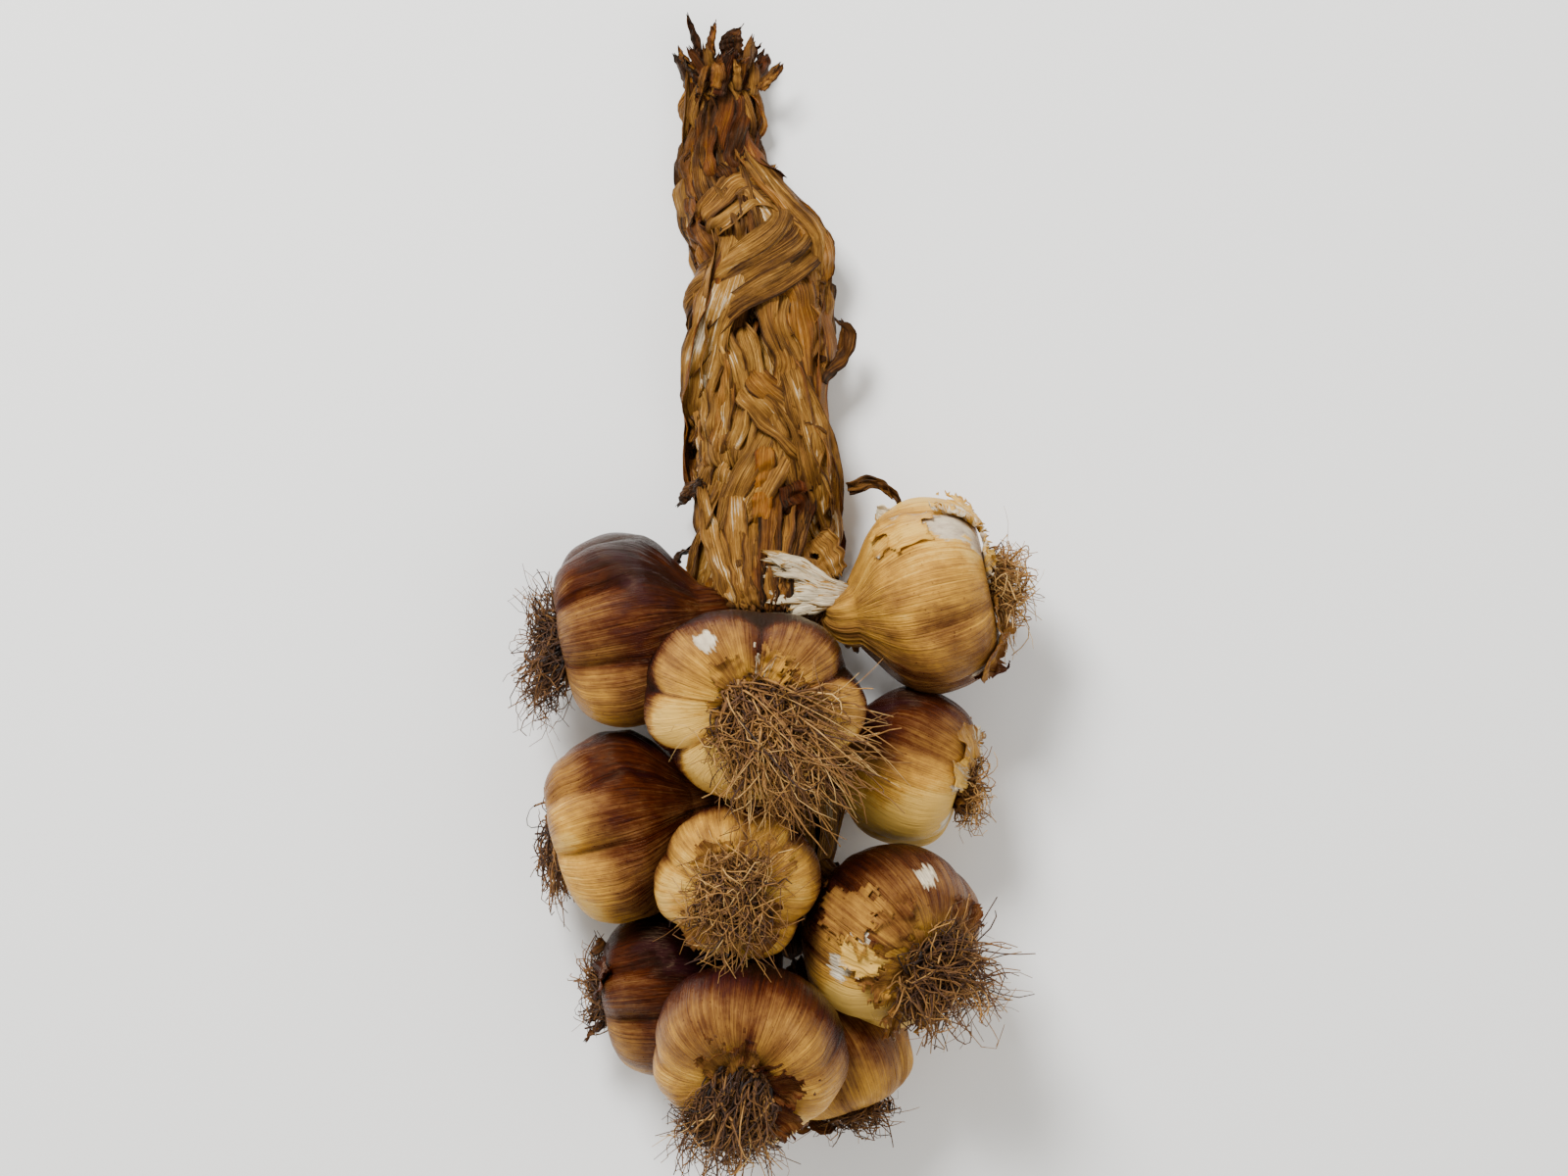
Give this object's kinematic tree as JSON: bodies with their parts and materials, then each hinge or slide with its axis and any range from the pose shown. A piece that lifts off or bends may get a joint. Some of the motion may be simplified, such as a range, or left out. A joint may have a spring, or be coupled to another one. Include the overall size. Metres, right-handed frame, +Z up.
{
  "type": "garlic braid",
  "caption": "Braid of smoked garlic bulbs with papery tan and chestnut skins and dried root tufts, hanging from a thick plait of dried leaves; lies on its back.",
  "frame": {"origin": "middle of the overall box, on the surface the braid lies on", "axes": "X across the braid, +Y along the plait towards the cut leaf ends, +Z up away from the surface; the shown side is up"},
  "size_m": [0.1531, 0.3448, 0.086],
  "materials": {
    "skin_pale": "papery garlic skin, tan with fine darker ribs from root to neck, low sheen",
    "skin_smoked": "papery garlic skin browned by smoke, glossy chestnut near the neck and tan lower down",
    "roots": "dry fibrous roots, matt",
    "leaf": "dried leaf, ochre to olive brown, ribbed lengthwise, matt with a faint sheen",
    "leaf_dark": "dried leaf, dark red brown, ribbed lengthwise, matt"
  },
  "bodies": {
    "root": {"bulb_upper_left": "skin_smoked", "bulb_upper_front": "skin_pale", "bulb_upper_right": "skin_pale", "bulb_mid_right": "skin_smoked", "bulb_mid_left": "skin_smoked", "bulb_mid_front": "skin_pale", "bulb_lower_right": "skin_pale", "bulb_lower_left": "skin_smoked", "bulb_bottom_front": "skin_pale", "bulb_bottom_right": "skin_pale", "roots_upper_left": "roots", "roots_upper_front": "roots", "roots_upper_right": "roots", "roots_mid_right": "roots", "roots_mid_left": "roots", "roots_mid_front": "roots", "roots_lower_right": "roots", "roots_lower_left": "roots", "roots_bottom_front": "roots", "roots_bottom_right": "roots", "strand_a": "leaf", "strand_b": "leaf", "strand_c": "leaf", "tip_far_left": "leaf_dark", "tip_left": "leaf", "tip_middle": "leaf_dark", "tip_cup": "leaf", "tip_right": "leaf", "hooked_leaf": "leaf_dark", "curled_leaf": "leaf", "corner_leaf": "leaf", "dark_tip": "leaf_dark", "brown_flap": "leaf_dark", "stem_scrap": "leaf"}
  },
  "joints": []
}
